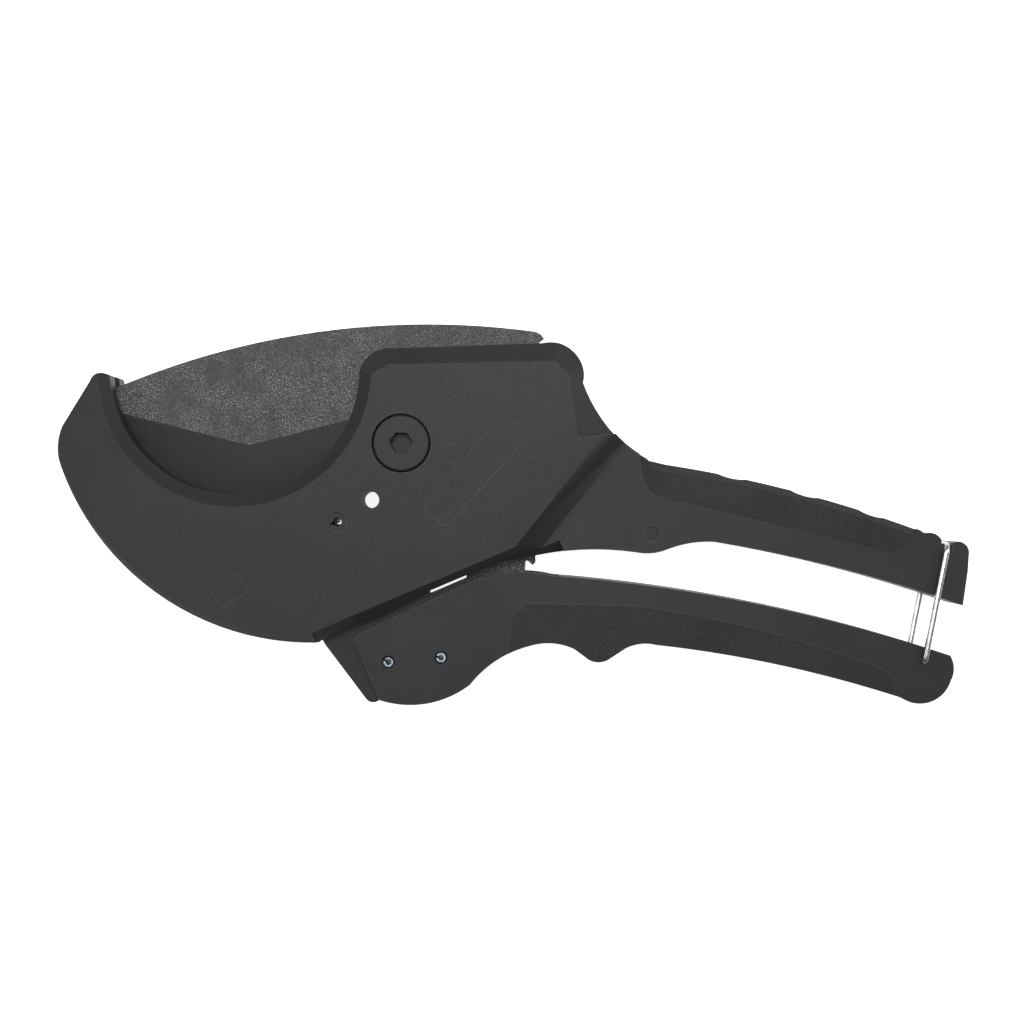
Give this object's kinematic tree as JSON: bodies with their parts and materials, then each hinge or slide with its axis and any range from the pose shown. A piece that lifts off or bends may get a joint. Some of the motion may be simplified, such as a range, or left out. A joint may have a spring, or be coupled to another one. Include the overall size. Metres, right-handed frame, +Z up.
{
  "type": "pipe cutter",
  "caption": "One-hand ratchet cutter for plastic pipe: hooked jaw, swinging V-edged blade, forked trigger lever, soft grips and a wire bail that latches the levers shut.",
  "frame": {"origin": "bottom centre of the bounding box, with the tool lying on its far cheek", "axes": "+X towards the handle ends, +Y towards the blade's back, +Z up, square to the cutting plane"},
  "size_m": [0.2767, 0.1166, 0.024],
  "materials": {
    "casting": "satin black coated cast aluminium, fine texture",
    "blade_steel": "dark coated blade steel, hammered grey flats, smooth dark bevel",
    "black_steel": "black oxide steel",
    "bright_steel": "plain steel",
    "spring_steel": "spring steel wire",
    "zinc_wire": "bright zinc plated wire",
    "soft_grip": "matt black moulded rubber",
    "bronze": "sintered bronze"
  },
  "bodies": {
    "frame": {"body_frame": "casting", "upper_grip": "soft_grip", "pivot_bolt": "black_steel", "pivot_bushing": "bronze", "pivot_spring_washer": "spring_steel", "pivot_nut": "bright_steel", "blade_washers": "bronze", "blade_stop_pin": "black_steel", "holding_pawl_pin": "black_steel", "holding_pawl_spring": "spring_steel", "trigger_return_spring": "spring_steel"},
    "blade": {"blade": "blade_steel"},
    "trigger": {"trigger_lever": "casting", "trigger_grip": "soft_grip", "trigger_pivot_pin": "bright_steel", "drive_pawl_pin": "bright_steel", "drive_pawl_spring": "spring_steel"},
    "drive_pawl": {"drive_pawl": "bright_steel"},
    "holding_pawl": {"holding_pawl": "bright_steel"},
    "bail": {"lock_bail": "zinc_wire"}
  },
  "joints": [
    {"name": "blade_swing", "type": "hinge", "parent": "frame", "child": "blade", "pos_m": [-0.03425, 0.02122, 0.012], "axis": [0, 0, -1], "range_deg": [0, 86]},
    {"name": "trigger_swing", "type": "hinge", "parent": "frame", "child": "trigger", "pos_m": [-0.03825, -0.04528, 0.012], "axis": [0, 0, -1], "range_deg": [0, 24]},
    {"name": "drive_pawl_swing", "type": "hinge", "parent": "trigger", "child": "drive_pawl", "pos_m": [-0.02225, -0.04388, 0.012], "axis": [0, 0, -1], "range_deg": [0, 12], "stiffness_Nm_per_rad": 0.02, "springref_deg": -17.19},
    {"name": "holding_pawl_swing", "type": "hinge", "parent": "frame", "child": "holding_pawl", "pos_m": [0.04195, -0.00638, 0.012], "axis": [0, 0, -1], "range_deg": [0, 12], "stiffness_Nm_per_rad": 0.02, "springref_deg": -17.19, "deforming": ["holding_pawl_spring"]},
    {"name": "bail_swing", "type": "hinge", "parent": "trigger", "child": "bail", "pos_m": [0.12445, -0.04508, 0.012], "axis": [0, 0, -1], "range_deg": [0, 100], "deforming": ["lock_bail"]}
  ]
}
